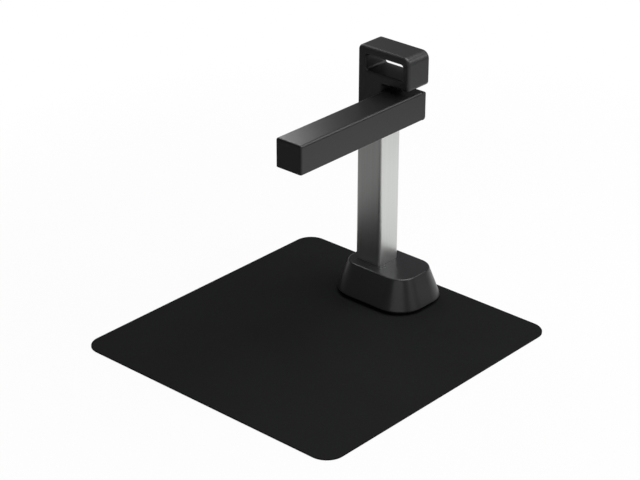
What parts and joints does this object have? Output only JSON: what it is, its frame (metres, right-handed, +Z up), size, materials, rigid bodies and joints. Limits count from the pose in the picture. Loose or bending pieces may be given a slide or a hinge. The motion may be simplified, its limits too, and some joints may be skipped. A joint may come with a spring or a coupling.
{
  "type": "book scanner",
  "caption": "Overhead book scanner: weighted base on a mat, square column, head with a carrying window, and a camera arm that folds down beside the column.",
  "frame": {"origin": "under the middle of the base, on the table that the mat lies on", "axes": "+Z up, -Y towards the reader and along the open arm, +X to the side of the column that the arm lies on"},
  "size_m": [0.424, 0.438, 0.3567],
  "materials": {
    "mat_rubber": "matt, finely grained",
    "base_gloss_black": "satin to gloss moulded black",
    "dark_plastic": "matt black",
    "pad_rubber": "matt",
    "steel": "plain zinc plated",
    "iron": "as cast, blackened",
    "circuit_board": "green solder mask",
    "socket_steel": "nickel plated",
    "cast_aluminium": "as cast",
    "column_aluminium": "silver anodised, fine lengthwise grain",
    "head_black": "satin black, fine texture",
    "arm_black": "black anodised, satin",
    "cap_black": "satin black",
    "lens_black": "black anodised",
    "lens_glass": "coated",
    "window_glass": "clear, lightly tinted",
    "white_board": "white solder mask",
    "light_yellow": "phosphor",
    "opal": "opal, translucent"
  },
  "bodies": {
    "stand": {"mat": "mat_rubber", "base_shell": "base_gloss_black", "base_plate": "dark_plastic", "foot_pads": "pad_rubber", "base_screws": "steel", "ballast_weight": "iron", "ballast_screws": "steel", "main_board": "circuit_board", "board_screws": "steel", "usb_socket": "socket_steel", "power_socket": "dark_plastic", "power_switch": "dark_plastic", "column_foot": "cast_aluminium", "foot_screws": "steel", "column_tube": "column_aluminium", "column_bolts": "steel", "head_body": "head_black", "head_rear_cover": "head_black", "head_screws": "steel", "hinge_bracket": "cast_aluminium", "bracket_screws": "steel", "hinge_shaft": "steel", "hinge_washers": "steel", "hinge_nut": "steel"},
    "arm": {"arm_housing": "arm_black", "arm_front_cap": "cap_black", "arm_rear_cap": "cap_black", "arm_hub": "cast_aluminium", "hub_screws": "steel", "arm_lower_cover": "cap_black", "arm_screws": "steel", "camera_board": "circuit_board", "camera_screws": "steel", "lens_holder": "dark_plastic", "lens_barrel": "lens_black", "lens_glass": "lens_glass", "camera_window": "window_glass", "light_board": "white_board", "light_screws": "steel", "light_chips": "light_yellow", "light_diffuser": "opal"},
    "power_button": {"power_button": "base_gloss_black"}
  },
  "joints": [
    {"name": "arm_fold", "type": "hinge", "parent": "stand", "child": "arm", "pos_m": [0, -0.00315, 0.2838], "axis": [1, 0, 0], "range_deg": [0, 90]},
    {"name": "power_press", "type": "slide", "parent": "stand", "child": "power_button", "axis": [0, -1, 0], "range_m": [0, 0.0012], "stiffness_N_per_m": 1500}
  ]
}
